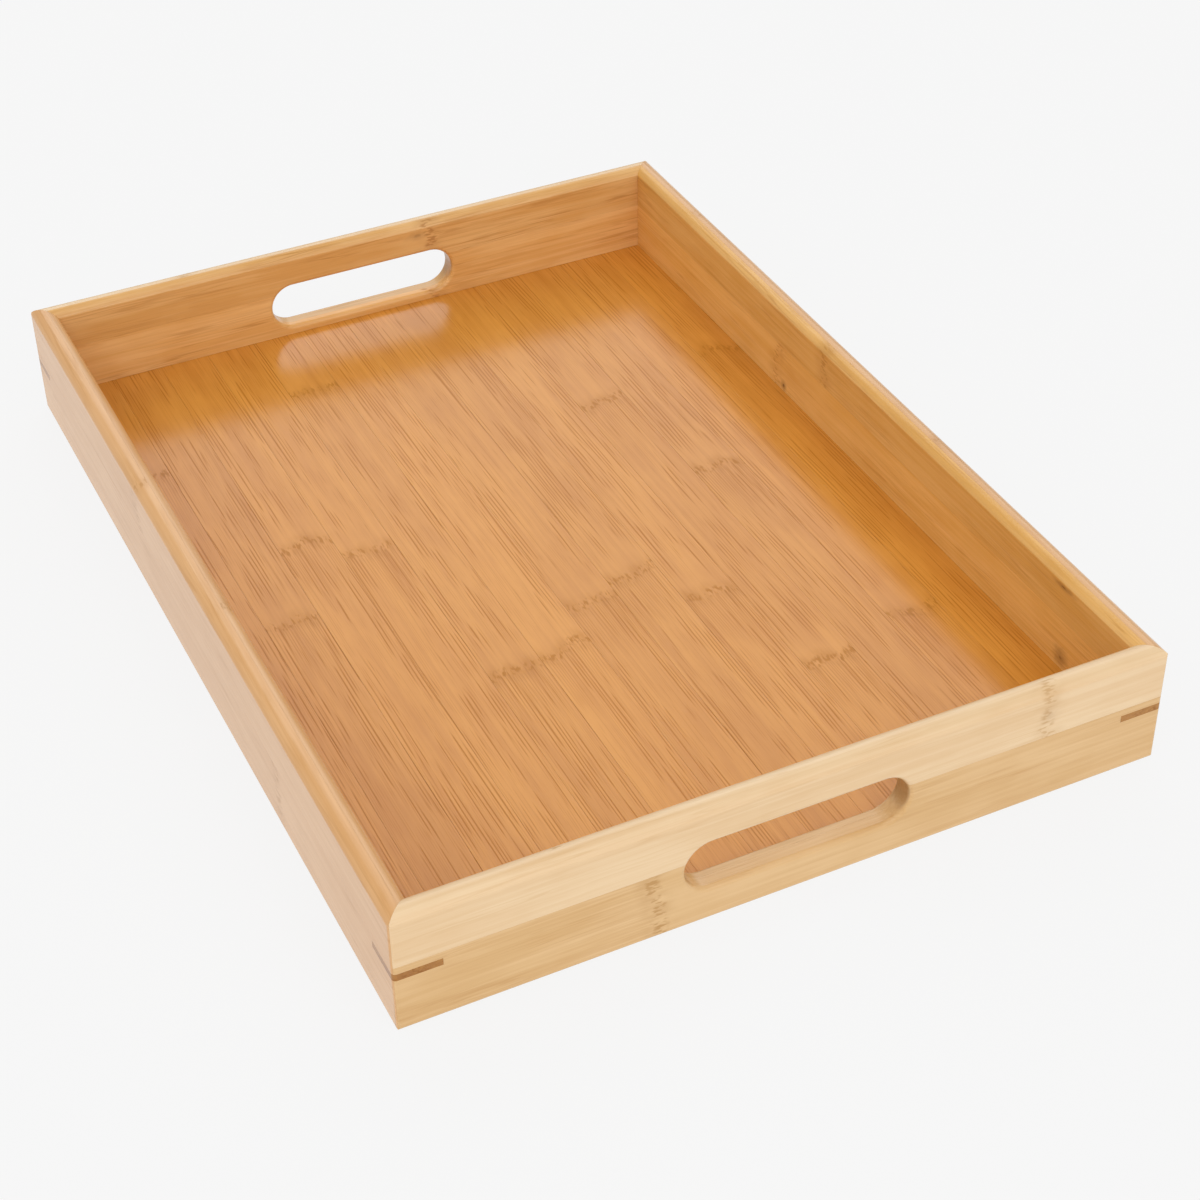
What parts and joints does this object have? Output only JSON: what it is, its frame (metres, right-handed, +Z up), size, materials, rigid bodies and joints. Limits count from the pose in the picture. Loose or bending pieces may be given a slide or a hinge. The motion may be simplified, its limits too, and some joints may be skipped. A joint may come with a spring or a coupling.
{
  "type": "serving tray",
  "caption": "Rectangular bamboo serving tray: laminated mitred rails with crowned tops and keyed corners, a strip-laminated base panel, and a hand slot through each short rail.",
  "frame": {"origin": "middle of the tray's footprint, on the surface it stands on", "axes": "+X across the tray along its short rails, +Y along the tray, +Z up out of the open top"},
  "size_m": [0.305, 0.42, 0.052],
  "materials": {
    "rail_upper_bamboo": "pale natural bamboo under clear satin lacquer",
    "rail_lower_bamboo": "honey bamboo under clear satin lacquer",
    "base_bamboo": "carbonised bamboo strips under clear gloss lacquer",
    "key_wood": "dark hardwood under clear satin lacquer"
  },
  "bodies": {
    "root": {"front_rail_outer_upper_strip": "rail_upper_bamboo", "front_rail_outer_lower_strip": "rail_lower_bamboo", "front_rail_inner_upper_strip": "rail_upper_bamboo", "front_rail_inner_lower_strip": "rail_lower_bamboo", "right_rail_outer_upper_strip": "rail_upper_bamboo", "right_rail_outer_lower_strip": "rail_lower_bamboo", "right_rail_inner_upper_strip": "rail_upper_bamboo", "right_rail_inner_lower_strip": "rail_lower_bamboo", "back_rail_outer_upper_strip": "rail_upper_bamboo", "back_rail_outer_lower_strip": "rail_lower_bamboo", "back_rail_inner_upper_strip": "rail_upper_bamboo", "back_rail_inner_lower_strip": "rail_lower_bamboo", "left_rail_outer_upper_strip": "rail_upper_bamboo", "left_rail_outer_lower_strip": "rail_lower_bamboo", "left_rail_inner_upper_strip": "rail_upper_bamboo", "left_rail_inner_lower_strip": "rail_lower_bamboo", "base_strip_01": "base_bamboo", "base_strip_02": "base_bamboo", "base_strip_03": "base_bamboo", "base_strip_04": "base_bamboo", "base_strip_05": "base_bamboo", "base_strip_06": "base_bamboo", "base_strip_07": "base_bamboo", "base_strip_08": "base_bamboo", "base_strip_09": "base_bamboo", "base_strip_10": "base_bamboo", "base_strip_11": "base_bamboo", "base_strip_12": "base_bamboo", "base_strip_13": "base_bamboo", "front_left_corner_key": "key_wood", "front_right_corner_key": "key_wood", "back_right_corner_key": "key_wood", "back_left_corner_key": "key_wood"}
  },
  "joints": []
}
